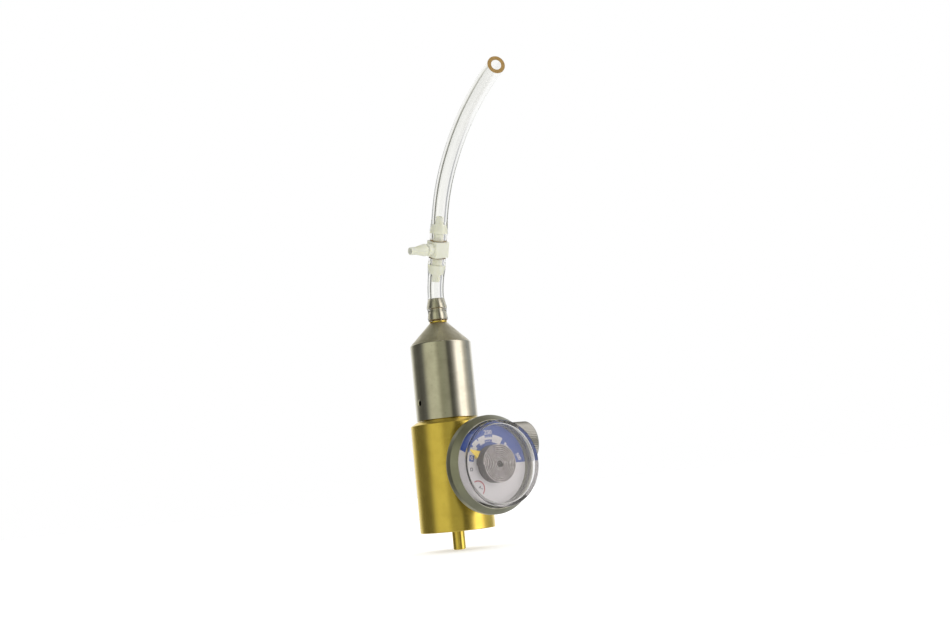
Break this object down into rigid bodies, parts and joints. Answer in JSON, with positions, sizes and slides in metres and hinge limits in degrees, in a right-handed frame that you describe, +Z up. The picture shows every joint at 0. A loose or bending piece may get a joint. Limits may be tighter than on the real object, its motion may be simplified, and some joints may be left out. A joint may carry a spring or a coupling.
{
  "type": "calibration gas regulator",
  "caption": "Fixed-flow gas regulator: brass body, nickel bonnet, round pressure gauge, on/off knob, barbed outlet, hose tee and clear hoses.",
  "frame": {"origin": "centre of the brass body's flat bottom face, at the mouth of the inlet socket", "axes": "+Z up the regulator's axis towards the outlet barb, -Y the way the gauge looks, +X towards the on/off knob"},
  "size_m": [0.06, 0.0989, 0.186],
  "materials": {
    "brass": "machined, bright and slightly tarnished",
    "nickel_plate": "satin nickel plate",
    "gauge_steel": "brushed steel",
    "spring_steel": "drawn wire",
    "sintered_bronze": "sintered, matt",
    "coil_alloy": "drawn strip",
    "rubber": "matt moulded",
    "seal_plastic": "turned",
    "dial_paint": "printed white and blue",
    "pointer_paint": "satin paint",
    "tee_plastic": "translucent moulded",
    "clear_hose": "clear and flexible",
    "clear_lens": "clear moulded"
  },
  "bodies": {
    "root": {"regulator_body": "brass", "inlet_probe": "brass", "regulator_nozzle": "brass", "outlet_washer": "brass", "flow_orifice": "brass", "gauge_stem": "brass", "gauge_restrictor": "brass", "valve_gland": "brass", "pointer_stop": "brass", "bonnet": "nickel_plate", "outlet_barb": "nickel_plate", "gauge_case": "gauge_steel", "piston_spring": "spring_steel", "inlet_filter": "sintered_bronze", "bourdon_coil": "coil_alloy", "coil_arbor": "coil_alloy", "inlet_gasket": "rubber", "bonnet_seal": "rubber", "lens_gasket": "rubber", "gauge_dial": "dial_paint", "tee_fitting": "tee_plastic", "lower_hose": "clear_hose", "upper_hose": "clear_hose", "gauge_lens": "clear_lens"},
    "piston": {"piston": "brass", "piston_seat": "seal_plastic", "piston_head_seal": "rubber", "piston_stem_seal": "rubber"},
    "valve_needle": {"valve_poppet": "brass", "poppet_seal": "seal_plastic"},
    "knob": {"knob": "nickel_plate", "valve_stem": "gauge_steel", "knob_set_screw": "spring_steel", "stem_seal": "rubber"},
    "pointer": {"pointer": "pointer_paint"}
  },
  "joints": [
    {"name": "piston_slide", "type": "slide", "parent": "root", "child": "piston", "axis": [0, 0, -1], "range_m": [0, 0.0006], "stiffness_N_per_m": 4000, "springref_m": -0.003, "deforming": ["piston_spring"]},
    {"name": "valve_travel", "type": "slide", "parent": "root", "child": "valve_needle", "axis": [1, 0, 0], "range_m": [0, 0.00125]},
    {"name": "knob_turn", "type": "hinge", "parent": "root", "child": "knob", "pos_m": [0.032, 0, 0.0342], "axis": [1, 0, 0], "range_deg": [0, 540]},
    {"name": "pointer_turn", "type": "hinge", "parent": "root", "child": "pointer", "pos_m": [0, -0.0311, 0.0256], "axis": [0, 1, 0], "range_deg": [0, 140], "stiffness_Nm_per_rad": 0.001, "springref_deg": -5.73}
  ],
  "couplings": [
    {"joint": "valve_travel", "follows": "knob_turn", "m_per_rad": 0.00012732}
  ]
}
